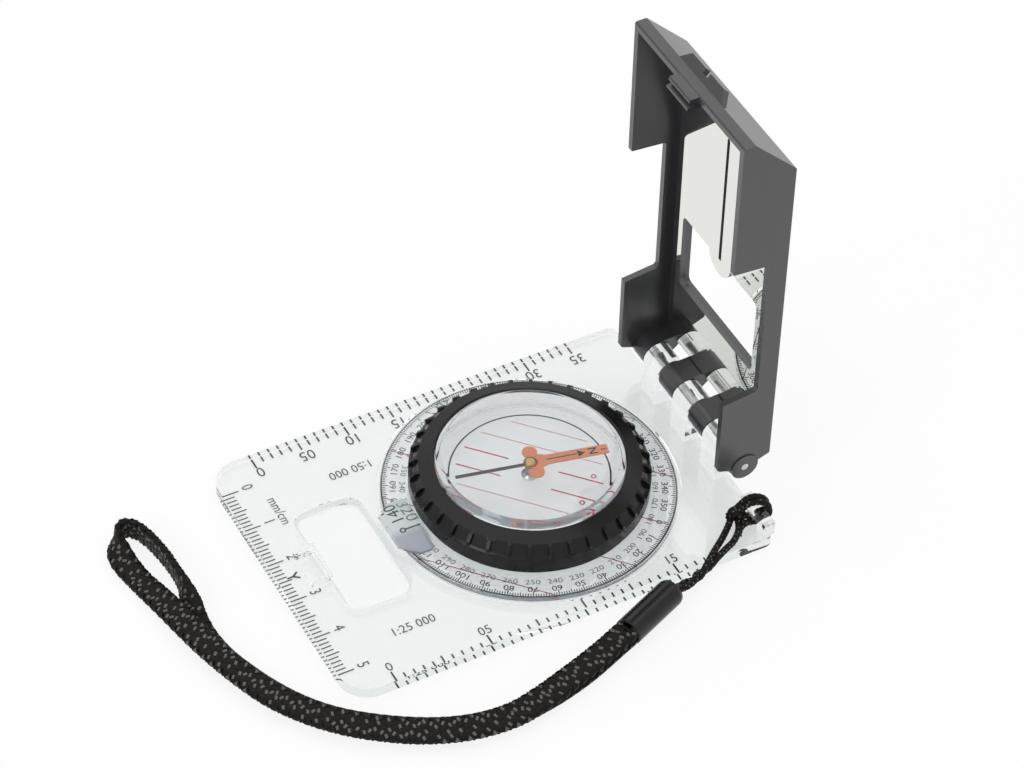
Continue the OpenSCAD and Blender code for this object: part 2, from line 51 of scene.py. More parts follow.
def fromDial(x, y, z):
    # a point given in millimetres from the dial's axis and the surface
    return dialCentre + Vector((x, y, z)) * mm


# camera: standing off the front corner on the strap's side
view = {"azimuth": 59.96, "elevation": 45.23, "roll": 2.67, "lens": 131.75, "sensor": 36,
        "near": 0.01, "far": 10, "place": (426.25, -251.34, 529.51)}


def makeCamera():
    bpy.ops.object.camera_add(location=fromDial(*view["place"]))
    camera = bpy.context.object
    turn = math.radians(view["azimuth"])
    tilt = math.radians(view["elevation"])
    back = Vector((math.sin(turn) * math.cos(tilt), -math.cos(turn) * math.cos(tilt), math.sin(tilt)))
    look = (-back).to_track_quat("-Z", "Y")
    roll = Matrix.Rotation(math.radians(view["roll"]), 3, back)
    camera.rotation_euler = (roll @ look.to_matrix()).to_euler()
    camera.data.lens = view["lens"]
    camera.data.sensor_width = view["sensor"]
    camera.data.clip_start = view["near"]
    camera.data.clip_end = view["far"]
    bpy.context.scene.camera = camera


makeCamera()
print("camera placed")


class Link:
    # a socket of a shader; arithmetic on it adds Math nodes
    def __init__(self, owner, socket):
        self.owner = owner
        self.socket = socket

    def math(self, operation, *others):
        values = {i: v for i, v in enumerate(others)}
        return self.owner.add("ShaderNodeMath", {"operation": operation}, values)

    def __add__(self, other):
        return self.math("ADD", self, other)

    def __radd__(self, other):
        return self.math("ADD", other, self)

    def __sub__(self, other):
        return self.math("SUBTRACT", self, other)

    def __rsub__(self, other):
        return self.math("SUBTRACT", other, self)

    def __mul__(self, other):
        return self.math("MULTIPLY", self, other)

    def __rmul__(self, other):
        return self.math("MULTIPLY", other, self)


class Finish:
    # a material under construction
    def __init__(self, name):
        self.material = bpy.data.materials.new(name)
        self.material.use_nodes = True
        self.tree = self.material.node_tree
        self.tree.nodes.clear()

    def add(self, kind, settings=None, inputs=None, take=0):
        node = self.tree.nodes.new(kind)
        for key, value in (settings or {}).items():
            setattr(node, key, value)
        for key, value in (inputs or {}).items():
            if isinstance(value, Link):
                self.tree.links.new(value.socket, node.inputs[key])
            else:
                node.inputs[key].default_value = value
        return Link(self, node.outputs[take])

    def place(self):
        return self.add("ShaderNodeTexCoord", take="Object")

    def noise(self, scale):
        inputs = {"Vector": self.place(), "Scale": scale, "Detail": 3.0}
        return self.add("ShaderNodeTexNoise", None, inputs)

    def mixColour(self, factor, first, second):
        # sockets 6, 7 and output 2 are the colour ones
        settings = {"data_type": "RGBA"}
        return self.add("ShaderNodeMix", settings, {0: factor, 6: first, 7: second}, take=2)

    def bump(self, height, strength, distance):
        return self.add("ShaderNodeBump", None,
                        {"Height": height, "Strength": strength, "Distance": distance})

    def surface(self, **inputs):
        named = {key.replace("_", " "): value for key, value in inputs.items()}
        return self.add("ShaderNodeBsdfPrincipled", None, named)

    def finish(self, shader):
        output = self.tree.nodes.new("ShaderNodeOutputMaterial")
        self.tree.links.new(shader.socket, output.inputs["Surface"])
        return self.material


def rgb(red, green, blue):
    return (red, green, blue, 1.0)


def shaded(colour, factor):
    return rgb(*(c * factor for c in colour[:3]))


# the glow colour here is painted light, given to rays caught inside the clear plastic
clearLook = {"shadow": rgb(0.96, 0.97, 0.97), "paintedGlow": rgb(0.8, 0.83, 0.83), "bounces": 5.0}


def clearPlastic(name, ior, tint, roughness):
    # shadow rays pass straight through, so the floor below stays pale; rays still inside after many
    # reflections meet a painted pale glow, an emission that stands in for the light they would carry,
    # instead of black
    make = Finish(name)
    body = make.surface(Base_Color=tint, Roughness=roughness, IOR=ior, Transmission_Weight=1.0)
    through = make.add("ShaderNodeBsdfTransparent", None, {"Color": clearLook["shadow"]})
    # painted glow: a pale emission in place of light caught inside the plastic
    paintedGlow = make.add("ShaderNodeEmission", None, {"Color": clearLook["paintedGlow"], "Strength": 1.0})
    shadow = make.add("ShaderNodeLightPath", take="Is Shadow Ray")
    depth = make.add("ShaderNodeLightPath", take="Ray Depth")
    deep = depth.math("GREATER_THAN", depth, clearLook["bounces"])
    plastic = make.add("ShaderNodeMixShader", None, {0: deep, 1: body, 2: paintedGlow})
    return make.finish(make.add("ShaderNodeMixShader", None, {0: shadow, 1: plastic, 2: through}))


mouldLook = {"grain": 900.0, "height": 0.04, "bump": 0.25, "cloud": 60.0, "lighter": 1.25, "uneven": 0.08}


def mouldedPlastic(name, colour, roughness, shine):
    look = mouldLook
    make = Finish(name)
    fine = make.noise(look["grain"])
    cloud = make.noise(look["cloud"])
    shade = make.mixColour(cloud, colour, shaded(colour, look["lighter"]))
    normal = make.bump(fine, look["bump"], look["height"] * mm)
    return make.finish(make.surface(Base_Color=shade, Roughness=roughness + cloud * look["uneven"],
                                    Normal=normal, Specular_IOR_Level=shine))


metalLook = {"scratch": 700.0, "uneven": 0.12}


def plainMetal(name, colour, roughness):
    make = Finish(name)
    rough = roughness + make.noise(metalLook["scratch"]) * metalLook["uneven"]
    return make.finish(make.surface(Base_Color=colour, Metallic=1.0, Roughness=rough))


silverLook = {"facing": 0.9, "edgeRoughness": 0.4}


def silvered(name, colour, edge):
    # silver on the faces, dull on the cut edges
    make = Finish(name)
    normal = make.add("ShaderNodeTexCoord", take="Normal")
    facing = make.add("ShaderNodeSeparateXYZ", None, {0: normal}, take="Y")
    face = facing.math("GREATER_THAN", facing.math("ABSOLUTE", facing), silverLook["facing"])
    shade = make.mixColour(face, edge, colour)
    rough = (1.0 - face) * silverLook["edgeRoughness"]
    return make.finish(make.surface(Base_Color=shade, Metallic=face, Roughness=rough))


paintLook = {"cloud": 120.0, "share": 0.4, "darker": 0.8}


def paint(name, colour, roughness):
    make = Finish(name)
    cloud = make.noise(paintLook["cloud"]) * paintLook["share"]
    shade = make.mixColour(cloud, colour, shaded(colour, paintLook["darker"]))
    return make.finish(make.surface(Base_Color=shade, Roughness=roughness))


clear = clearPlastic("clearPlastic", ior=1.49, tint=rgb(0.935, 0.945, 0.945), roughness=0.02)
clearLens = clearPlastic("clearLens", ior=1.49, tint=rgb(0.975, 0.98, 0.98), roughness=0.0)
ringBlack = mouldedPlastic("ringBlack", rgb(0.006, 0.0055, 0.0055), roughness=0.22, shine=0.3)
coverGrey = mouldedPlastic("coverGrey", rgb(0.031, 0.031, 0.034), roughness=0.26, shine=0.8)
mirrorSilver = silvered("mirrorSilver", rgb(0.77, 0.78, 0.74), edge=rgb(0.1, 0.1, 0.1))
steel = plainMetal("steel", rgb(0.6, 0.6, 0.61), roughness=0.25)
needleSteel = paint("needleSteel", rgb(0.03, 0.03, 0.032), roughness=0.35)
brass = plainMetal("brass", rgb(0.5, 0.31, 0.14), roughness=0.25)
orangePaint = paint("orangePaint", rgb(1.0, 0.34, 0.17), roughness=0.4)
jewelRed = clearPlastic("jewelRed", ior=1.76, tint=rgb(0.7, 0.05, 0.15), roughness=0.0)
cordBlack = mouldedPlastic("cordBlack", rgb(0.007, 0.006, 0.005), roughness=0.4, shine=0.15)
# paler finish for the braid's crowns: a painted highlight
cordCrownSheen = mouldedPlastic("cordCrownSheen", rgb(0.08, 0.077, 0.07), roughness=0.4, shine=0.5)
ferruleBlack = mouldedPlastic("ferruleBlack", rgb(0.008, 0.008, 0.009), roughness=0.2, shine=0.35)
print("materials made")

# cords: points in millimetres from the dial's axis, as in the part's source
strap = {"width": 5.0, "thick": 1.3, "strands": 8, "ribbon": (1.5, 0.42), "lift": 0.17, "pitch": 2.2,
         "steps": 5, "length": 0.2527}
strapRoute = [
    (40.7, -1.0, 3.3, 0), (41.5, -3.4, 3.1, 0), (42.6, -6.8, 2.7, 0), (44.2, -11.5, 2.6, 4),
    (45.8, -16.8, 2.5, 8), (47.3, -22.2, 2.4, 12), (48.4, -28.2, 2.3, 12), (48.2, -34.2, 2.3, 12),
    (46.9, -40.2, 2.3, 12), (44.3, -46.4, 2.3, 12), (40.9, -51.9, 2.3, 12), (36.7, -57.2, 2.3, 12),
    (31.4, -62.1, 2.3, 12), (24.8, -66.4, 2.3, 12), (17.2, -69.5, 2.3, 12), (9.0, -72.0, 2.3, 12),
    (2.6, -73.5, 2.4, 14), (-3.2, -74.4, 1.9, 17), (-8.2, -75.2, 1.2, 8), (-13.2, -76.2, 0.8, 0),
    (-17.8, -77.0, 1.2, 15), (-21.4, -77.0, 2.0, 45), (-23.9, -76.0, 2.6, 80), (-24.9, -74.2, 2.6, 90),
    (-23.6, -72.2, 2.6, 90), (-20.6, -71.0, 2.6, 90), (-17.0, -70.3, 2.6, 90), (-13.5, -69.9, 2.6, 90),
    (-10.2, -69.8, 2.6, 90), (-7.2, -69.9, 2.6, 98), (-4.6, -70.2, 2.4, 118), (-2.0, -70.6, 1.9, 142),
    (1.0, -71.2, 1.3, 165), (5.6, -71.2, 0.9, 176), (11.2, -70.2, 0.7, 180), (16.6, -68.4, 0.7, 180),
    (22.0, -66.1, 0.7, 180), (27.0, -63.3, 0.7, 180), (31.4, -60.0, 0.7, 180), (35.0, -56.4, 0.7, 180),
    (38.3, -52.2, 0.7, 180), (41.2, -47.8, 0.7, 180), (43.7, -43.2, 0.7, 180), (45.6, -38.4, 0.7, 180),
    (46.8, -33.4, 0.7, 180), (47.2, -28.0, 0.7, 180), (46.7, -22.4, 0.7, 180), (45.6, -16.9, 0.7, 180),
    (44.2, -11.6, 0.9, 180), (42.6, -6.9, 1.2, 180), (41.5, -3.5, 1.6, 180), (40.7, -1.1, 1.8, 180),
]
tie = {"width": 1.4, "thick": 1.4, "strands": 4, "ribbon": (0.62, 0.2), "lift": 0.09, "pitch": 0.95,
       "steps": 5, "length": 0.0655}
tieRoute = [
    (35.5, 11.9, 3.5, 0), (34.7, 13.8, 2.2, 0), (33.6, 15.4, 1.2, 0), (33.6, 17.0, 0.9, 0),
    (33.9, 18.6, 1.6, 0), (33.0, 20.2, 2.5, 0), (31.9, 21.9, 3.2, 0), (30.4, 23.9, 3.3, 0),
    (28.4, 26.6, 3.2, 0), (26.0, 29.4, 3.2, 0), (24.0, 31.4, 3.4, 0), (24.5, 32.6, 5.8, 0),
    (24.7, 34.1, 7.0, 0), (25.1, 36.0, 7.0, 0), (25.6, 37.5, 5.8, 0), (26.1, 37.6, 4.0, 0),
    (26.2, 36.3, 3.3, 0), (26.0, 34.6, 3.3, 0), (25.4, 32.0, 3.4, 0), (28.0, 30.4, 3.2, 0),
    (30.1, 28.1, 3.2, 0), (31.4, 25.4, 3.3, 0), (32.4, 23.0, 3.0, 0), (32.8, 21.0, 1.6, 0),
    (32.6, 19.2, 0.9, 0), (33.5, 17.9, 1.9, 0), (34.9, 16.6, 2.3, 0), (35.3, 14.6, 2.0, 0),
    (35.3, 12.0, 2.1, 0),
]

braid = {"divide": 24, "corner": 0.55, "crown": 0.8, "sheenEvery": 3, "smooth": 50}


def curvePoint(points, i, t):
    # a smooth curve through the points, between the i-th and the next
    a, b, c, d = (Vector(points[min(max(i + k, 0), len(points) - 1)]) for k in (-1, 0, 1, 2))
    return 0.5 * (2 * b + (c - a) * t + (2 * a - 5 * b + 4 * c - d) * t ** 2
                  + (3 * b - a - 3 * c + d) * t ** 3)


def evenCurve(points, step):
    # the same curve as points a fixed length apart, each with its roll
    parts = braid["divide"]
    dense = [curvePoint(points, i, k / parts) for i in range(len(points) - 1) for k in range(parts)]
    dense.append(Vector(points[-1]))
    along = [0.0]
    for a, b in zip(dense, dense[1:]):
        along.append(along[-1] + (b - a).to_3d().length)
    count = round(along[-1] / step)
    result, j = [], 0
    for n in range(count + 1):
        target = along[-1] * n / count
        while j < len(dense) - 2 and along[j + 1] < target:
            j += 1
        share = (target - along[j]) / max(along[j + 1] - along[j], 1e-9)
        result.append(dense[j].lerp(dense[j + 1], min(share, 1.0)))
    return result


def frames(line):
    # centre, sideways and upward directions at each point of the line
    nearlyUp = Vector((0.02, 0.01, 1))
    result = []
    for i, point in enumerate(line):
        ahead = (line[min(i + 1, len(line) - 1)] - line[max(i - 1, 0)]).to_3d().normalized()
        side = ahead.cross(nearlyUp).normalized()
        up = side.cross(ahead)
        roll = math.radians(point[3])
        wide = side * math.cos(roll) + up * math.sin(roll)
        result.append((point.to_3d(), wide, wide.cross(ahead), ahead))
    return result


def roundSection(half, radius, u):
    # point and outward direction at length u round a flat ring: two straight sides and two half circles
    arc = math.pi * radius
    total = 4 * half + 2 * arc
    u = u % total
    if u < 2 * half:
        return (half - u, radius), (0, 1)
    u -= 2 * half
    if u < arc:
        a = math.pi / 2 + u / radius
        return (-half + radius * math.cos(a), radius * math.sin(a)), (math.cos(a), math.sin(a))
    u -= arc
    if u < 2 * half:
        return (-half + u, -radius), (0, -1)
    u -= 2 * half
    a = -math.pi / 2 + u / radius
    return (half + radius * math.cos(a), radius * math.sin(a)), (math.cos(a), math.sin(a))


def ribbonSection(size):
    # six corners of a strand's cross-section, across it and outwards
    w, t = size
    c = braid["corner"]
    corners = ((1, 0), (c, 1), (-c, 1), (-1, 0), (-c, -1), (c, -1))
    return [(w * x / 2, t * y / 2) for x, y in corners]


def addTube(rings, verts, faces):
    # a closed tube through rings of the same number of points
    base, sides = len(verts), len(rings[0])
    for ring in rings:
        verts.extend(ring)
    for i in range(len(rings) - 1):
        for k in range(sides):
            a, b = base + i * sides + k, base + i * sides + (k + 1) % sides
            faces.append((a, b, b + sides, a + sides))
    faces.append(tuple(base + k for k in reversed(range(sides))))
    faces.append(tuple(base + (len(rings) - 1) * sides + k for k in range(sides)))


def braidedCord(name, cord, route, finish):
    # a flat or round braid: equal numbers of strands wind each way, over one and under one; some of the
    # crowns, where a strand lies on top, get a paler finish as a painted highlight
    steps = cord["steps"]
    line = frames(evenCurve(route, cord["pitch"] / steps))
    radius = cord["thick"] / 2 - cord["lift"] - cord["ribbon"][1] / 2
    half = (cord["width"] - cord["thick"]) / 2
    total = 4 * half + 2 * math.pi * radius
    turn = total / cord["strands"]
    shape = ribbonSection(cord["ribbon"])
    verts, faces, crowns = [], [], []
    for way in (1, -1):
        for strand in range(cord["strands"]):
            rings = []
            for n, (centre, wide, thin, ahead) in enumerate(line):
                t = n / steps
                (x, y), (nx, ny) = roundSection(half, radius, (strand + way * t) * turn)
                lift = way * cord["lift"] * math.cos(2 * math.pi * t)
                out = wide * nx + thin * ny
                middle = centre + wide * x + thin * y + out * lift
                along = thin * nx - wide * ny
                travel = (ahead * cord["pitch"] + along * (way * turn)).normalized()
                across = travel.cross(out).normalized()
                rings.append([fromDial(*(middle + across * a + out * b)) for a, b in shape])
            first = len(faces)
            addTube(rings, verts, faces)
            for n in range(len(rings) - 1):
                # painted highlight: these crowns, on top of the braid, take the paler finish
                onTop = way * math.cos(2 * math.pi * (n + 0.5) / steps) > braid["crown"]
                if onTop and (strand + 2 * (n // steps)) % braid["sheenEvery"] == 0:
                    crowns.append(first + n * len(shape) + 1)
    mesh = bpy.data.meshes.new(name)
    mesh.from_pydata(verts, [], faces)
    piece = bpy.data.objects.new(name, mesh)
    bpy.context.collection.objects.link(piece)
    mesh.materials.append(finish)
    mesh.materials.append(cordCrownSheen)
    for face in crowns:
        mesh.polygons[face].material_index = 1
    clearSelection()
    piece.select_set(True)
    bpy.context.view_layer.objects.active = piece
    bpy.ops.object.mode_set(mode="EDIT")
    bpy.ops.mesh.select_all(action="SELECT")
    bpy.ops.mesh.normals_make_consistent(inside=False)
    bpy.ops.object.mode_set(mode="OBJECT")
    bpy.ops.object.shade_smooth_by_angle(angle=math.radians(braid["smooth"]))
    path = [fromDial(*centre) for centre, *_ in line]
    return piece, path


def clearSelection():
    if bpy.context.object and bpy.context.object.mode != "OBJECT":
        bpy.ops.object.mode_set(mode="OBJECT")
    bpy.ops.object.select_all(action="DESELECT")


strapPiece, strapPath = braidedCord("wristStrap", strap, strapRoute, cordBlack)
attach(strapPiece, "base")
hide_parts("strap_tape")
tiePiece, tiePath = braidedCord("tieCord", tie, tieRoute, cordBlack)
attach(tiePiece, "base")
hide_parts("tie_strand_left", "tie_strand_right", "tie_hitch")


def knotTurns(knot):
    # the cord's own turns round the two strands, pulled tight
    centre, lean = Vector(knot["at"]), math.radians(knot["yaw"])
    axis = Vector((math.cos(lean), math.sin(lean), 0))
    side = Vector((-math.sin(lean), math.cos(lean), 0))
    count = round(knot["turns"] * knot["points"])
    points = []
    for i in range(count + 1):
        a = 2 * math.pi * knot["turns"] * i / count
        away = side * (math.cos(a) * knot["wide"]) + Vector((0, 0, math.sin(a) * knot["high"]))
        step = axis * (knot["spread"] * (i / count - 0.5))
        points.append((*(centre + away + step), 0))
    return points


knot = {"at": (24.9, 31.6, 3.75), "yaw": -48.0, "turns": 1.5, "points": 12, "wide": 1.15, "high": 0.95,
        "spread": 1.5}
secondLoop = [
    (25.3, 32.6, 5.6, 0), (25.8, 34.0, 6.75, 0), (26.3, 35.9, 6.75, 0), (26.8, 37.3, 5.7, 0),
    (27.3, 37.5, 4.0, 0), (27.4, 36.3, 3.0, 0), (27.2, 34.5, 2.9, 0), (26.9, 32.6, 2.9, 0),
    (27.3, 31.2, 2.2, 0), (28.3, 30.3, 1.3, 0),
]
knotPiece, _ = braidedCord("tieKnot", tie, knotTurns(knot) + secondLoop, cordBlack)
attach(knotPiece, "base")
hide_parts("tie_knot")
print("cords laid")


turnedLook = {"sides": 192, "smooth": 25}


def turned(name, rings, finish):
    # a solid of revolution round the dial's axis: a disc extruded and scaled ring by ring
    clearSelection()
    bpy.ops.mesh.primitive_circle_add(vertices=turnedLook["sides"], radius=rings[0][0] * mm,
                                      fill_type="NGON", location=fromDial(0, 0, rings[0][1]))
    piece = bpy.context.object
    piece.name = name
    bpy.ops.object.transform_apply(location=True)
    bpy.ops.object.mode_set(mode="EDIT")
    bpy.ops.mesh.select_all(action="SELECT")
    for (r0, z0), (r1, z1) in zip(rings, rings[1:]):
        bpy.ops.mesh.extrude_region_move(TRANSFORM_OT_translate={"value": (0, 0, (z1 - z0) * mm)})
        bpy.ops.transform.resize(value=(r1 / r0, r1 / r0, 1), center_override=fromDial(0, 0, z1))
    bpy.ops.mesh.select_all(action="SELECT")
    bpy.ops.mesh.normals_make_consistent(inside=False)
    bpy.ops.object.mode_set(mode="OBJECT")
    bpy.ops.object.shade_smooth_by_angle(angle=math.radians(turnedLook["smooth"]))
    piece.data.materials.append(finish)
    return piece


# capsule: plastic and liquid as one clear block, so the needle shows where the eye would see it
capsuleRings = [(17.75, 0.3), (18.5, 0.6), (18.5, 0.95), (17.85, 0.95), (17.85, 2.0), (28.7, 2.0),
                (28.9, 2.2), (28.9, 3.0), (28.6, 3.3), (18.35, 3.3), (18.35, 10.75), (18.1, 11.1),
                (17.6, 11.4), (17.1, 12.0), (16.8, 12.05)]
capsuleBlock = turned("capsuleBlock", capsuleRings, clear)
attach(capsuleBlock, "dial")
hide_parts("dial_disc", "capsule_wall", "capsule_window")
print("capsule turned")


# prints: flat marks with a hair of thickness, laid just inside the clear plastic
inkLook = {"thickness": 0.02, "weld": 0.00001, "curve": 3, "roughness": 0.5}


def mark(x0, y0, x1, y1, z):
    # a flat rectangle between two corners, in millimetres from the dial's axis
    clearSelection()
    bpy.ops.mesh.primitive_plane_add(size=1, location=fromDial((x0 + x1) / 2, (y0 + y1) / 2, z))
    bpy.ops.transform.resize(value=(abs(x1 - x0) * mm, abs(y1 - y0) * mm, 1))
    bpy.ops.object.transform_apply(location=True, scale=True)
    return bpy.context.object


def row(piece, count, dx, dy):
    # copies in a line, by an array that is applied
    array = piece.modifiers.new("row", "ARRAY")
    array.use_relative_offset = False
    array.use_constant_offset = True
    array.constant_offset_displace = (dx * mm, dy * mm, 0)
    array.count = count
    bpy.ops.object.modifier_apply(modifier="row")
    return piece


def turnMark(piece, degrees, centre=(0, 0)):
    # turned round the dial's axis or another point
    clearSelection()
    piece.select_set(True)
    bpy.context.view_layer.objects.active = piece
    bpy.ops.object.mode_set(mode="EDIT")
    bpy.ops.mesh.select_all(action="SELECT")
    # with no window the operator turns the other way
    bpy.ops.transform.rotate(value=-math.radians(degrees), orient_axis="Z",
                             center_override=fromDial(*centre, 0))
    bpy.ops.object.mode_set(mode="OBJECT")
    return piece


def ringOfMarks(piece, count, step):
    # copies round the dial's axis
    clearSelection()
    piece.select_set(True)
    bpy.context.view_layer.objects.active = piece
    bpy.ops.object.mode_set(mode="EDIT")
    bpy.ops.mesh.select_all(action="SELECT")
    bpy.ops.mesh.spin(steps=count - 1, dupli=True, angle=math.radians(step * (count - 1)),
                      center=fromDial(0, 0, 0), axis=(0, 0, 1))
    bpy.ops.object.mode_set(mode="OBJECT")
    return piece


def word(body, size, x, y, z, degrees, squeeze=1.0, weight=0.0):
    # numbers as flat letters centred on a point
    clearSelection()
    bpy.ops.object.text_add(location=fromDial(x, y, z), rotation=(0, 0, math.radians(degrees)))
    text = bpy.context.object
    text.data.body = body
    text.data.size = size * mm
    text.data.align_x = "CENTER"
    text.data.align_y = "CENTER"
    text.data.resolution_u = inkLook["curve"]
    text.data.offset = weight * mm
    text.scale = (squeeze, 1, 1)
    bpy.ops.object.convert(target="MESH")
    bpy.ops.object.transform_apply(location=True, rotation=True, scale=True)
    return bpy.context.object


def printed(name, parts, finish, body):
    # joins the marks into one piece, welds it and gives it its thickness
    clearSelection()
    for part in parts:
        part.select_set(True)
    bpy.context.view_layer.objects.active = parts[0]
    bpy.ops.object.join()
    piece = bpy.context.object
    piece.name = name
    bpy.ops.object.transform_apply(location=True, rotation=True, scale=True)
    bpy.ops.object.mode_set(mode="EDIT")
    bpy.ops.mesh.select_all(action="SELECT")
    bpy.ops.mesh.remove_doubles(threshold=inkLook["weld"] * mm)
    bpy.ops.mesh.normals_make_consistent(inside=False)
    bpy.ops.object.mode_set(mode="OBJECT")
    solid = piece.modifiers.new("thickness", "SOLIDIFY")
    solid.thickness = inkLook["thickness"] * mm
    solid.offset = 0
    bpy.ops.object.modifier_apply(modifier="thickness")
    piece.data.materials.clear()
    piece.data.materials.append(finish)
    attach(piece, body)
    return piece


inkBlack = paint("inkBlack", rgb(0.012, 0.012, 0.013), inkLook["roughness"])
inkRed = paint("inkRed", rgb(0.52, 0.02, 0.07), inkLook["roughness"])
inkGreen = paint("inkGreen", rgb(0.22, 0.27, 0.25), inkLook["roughness"])
inkFloor = paint("inkFloor", rgb(0.72, 0.1, 0.14), inkLook["roughness"])

# ticks are given by their inner end and spacing, digits by x, y and squeeze
plateInk = {"z": 0.05, "line": 0.28, "edge": -53.6, "zero": -25.2, "size": 3.3,
            "ticks": ((-51.2, 1), (-50.53, 5), (-49.95, 10)), "length": 50,
            "digits": (-0.25, -48.07, 0.8), "unit": (-17.1, -45.2, 0.85), "unitSize": 2.9,
            "sideLine": 0.36, "side": 31.65, "labelGap": 1.15, "labelUp": 0.25, "squeeze": 0.95}
arrow = {"x": -0.7, "half": 0.2, "point": (-0.7, -50.1),
         "strokes": ((0, -51.3, -50.0), (35, -50.1, -48.7), (-35, -50.1, -48.7))}
leftScale = {"side": -1, "zero": -44.15, "step": 2, "count": 36, "every": 10, "size": 3.5,
             "ticks": ((30.2, 1), (29.7, 5), (29.16, 10)),
             "labels": ("0", "05", "10", "15", "20", "25", "30", "35")}
rightScale = {"side": 1, "zero": -44.2, "step": 2, "count": 34, "every": 20, "size": 2.9,
              "ticks": ((29.61, 1), (29.1, 5), (28.44, 10)), "labels": ("0", "05", "", "15")}
ratios = (("1:50 000", -20.8, -28.0, -90), ("1:25 000", 20.2, -35.4, 90))
ratioSize = 2.8


def frontRuler():
    look, parts = plateInk, []
    half = look["line"] / 2
    for inner, step in look["ticks"]:
        tick = mark(look["zero"] - half, look["edge"], look["zero"] + half, inner, look["z"])
        parts.append(row(tick, look["length"] // step + 1, step, 0))
    aside, y, squeeze = look["digits"]
    for n in range(look["length"] // 10 + 1):
        parts.append(word(str(n), look["size"], look["zero"] + 10 * n + aside, y, look["z"], 0, squeeze))
    x, y, squeeze = look["unit"]
    parts.append(word("mm/cm", look["unitSize"], x, y, look["z"], 0, squeeze))
    # the arrow in the middle of the ruler
    for lean, low, high in arrow["strokes"]:
        stem = mark(arrow["x"] - arrow["half"], low, arrow["x"] + arrow["half"], high, look["z"])
        parts.append(turnMark(stem, lean, arrow["point"]))
    return parts


def sideScale(scale):
    # ticks along a long edge, read from outside
    look, parts, side = plateInk, [], scale["side"]
    half = look["sideLine"] / 2
    for depth, pick in scale["ticks"]:
        tick = mark(side * look["side"], scale["zero"] - half, side * depth, scale["zero"] + half, look["z"])
        parts.append(row(tick, (scale["count"] - 1) // pick + 1, 0, scale["step"] * pick))
    x = side * (scale["ticks"][-1][0] - look["labelGap"])
    for n, body in enumerate(scale["labels"]):
        if body:
            y = scale["zero"] + scale["every"] * n + look["labelUp"]
            parts.append(word(body, scale["size"], x, y, look["z"], 90 * side, look["squeeze"]))
    return parts


plateMarks = frontRuler() + sideScale(leftScale) + sideScale(rightScale)
for body, x, y, degrees in ratios:
    plateMarks.append(word(body, ratioSize, x, y, plateInk["z"], degrees, plateInk["squeeze"]))
printed("plateScales", plateMarks, inkBlack, "base")
print("plate printed")

# numbers are given by their radius, the one at north, their size and their turn
dialInk = {"z": 2.15, "tickZ": 2.95, "north": 43.4, "rim": 28.5, "line": 0.2, "squeeze": 1.2,
           "ticks": ((27.75, 1), (27.45, 5), (27.1, 10)), "hoop": (28.38, 28.58), "hoopSides": 120,
           "numbers": (26.2, 0, 1.8, -90), "reverse": (24.5, 180, 1.65, 90)}
hoopLook = {"line": 0.01, "weld": 0.002}


def dialMarks():
    look = dialInk
    half = look["line"] / 2
    parts = []
    for inner, step in look["ticks"]:
        tick = turnMark(mark(inner, -half, look["rim"], half, look["tickZ"]), look["north"])
        parts.append(ringOfMarks(tick, 360 // step, step))
    return parts + [hoop(*look["hoop"], look["tickZ"])]


def hoop(inner, outer, z, x=0, y=0, sides=dialInk["hoopSides"]):
    # a thin flat ring, by spinning a short line
    clearSelection()
    line = hoopLook["line"]
    piece = mark(x + inner, y - line, x + outer, y + line, z)
    bpy.ops.object.mode_set(mode="EDIT")
    bpy.ops.mesh.select_all(action="SELECT")
    bpy.ops.mesh.delete(type="ONLY_FACE")
    bpy.ops.object.mode_set(mode="OBJECT")
    low = min(v.co.y for v in piece.data.vertices)
    for vertex in piece.data.vertices:
        vertex.select = vertex.co.y > low + line * mm
    bpy.ops.object.mode_set(mode="EDIT")
    bpy.ops.mesh.select_mode(type="VERT")
    bpy.ops.mesh.delete(type="VERT")
    bpy.ops.mesh.select_all(action="SELECT")
    bpy.ops.mesh.spin(steps=sides, angle=2 * math.pi, center=fromDial(x, y, z), axis=(0, 0, 1))
    bpy.ops.mesh.select_all(action="SELECT")
    bpy.ops.mesh.remove_doubles(threshold=hoopLook["weld"] * mm)
    bpy.ops.object.mode_set(mode="OBJECT")
    return piece


def dialNumbers(radius, offset, size, flip):
    # a number every ten degrees, counted clockwise from north
    parts = []
    for n in range(0, 360, 10):
        a = math.radians(dialInk["north"] - n)
        parts.append(word(str((n + offset) % 360), size, radius * math.cos(a), radius * math.sin(a),
                          dialInk["z"], math.degrees(a) + flip, dialInk["squeeze"]))
    return parts


def northLine(offset, half, reach, hole, z):
    # a mark along north on each side of the hole, or one long mark where there is no hole
    far = math.sqrt(reach ** 2 - offset ** 2)
    near = math.sqrt(max(hole ** 2 - offset ** 2, 0))
    spans = ((near, far), (-far, -near)) if hole else ((-far, far),)
    return [turnMark(mark(low, offset - half, high, offset + half, z), dialInk["north"])
            for low, high in spans]


meridianInk = {"offsets": (-24.6, -12.3, 0, 12.3, 24.6), "half": 0.09, "reach": 28.3, "hole": 18.6, "z": 2.2}


def dialLines():
    # long parallel lines on the flange, along north
    look, parts = meridianInk, []
    for offset in look["offsets"]:
        parts += northLine(offset, look["half"], look["reach"], look["hole"], look["z"])
    return parts


ticksAndNumbers = dialMarks() + dialNumbers(*dialInk["numbers"])
printed("dialTicks", ticksAndNumbers, inkBlack, "dial")
printed("dialReverse", dialNumbers(*dialInk["reverse"]), inkGreen, "dial")
printed("dialMeridians", dialLines(), inkRed, "dial")

floorInk = {"z": 2.15, "reach": 14.0,
            "lines": ((2.35, 0.15, 5.5), (7.05, 0.07, 0), (11.7, 0.07, 0)),
            "spot": (11.5, 3.55), "spotRing": (0.3, 0.55), "spotSides": 32, "ring": (15.12, 15.42)}


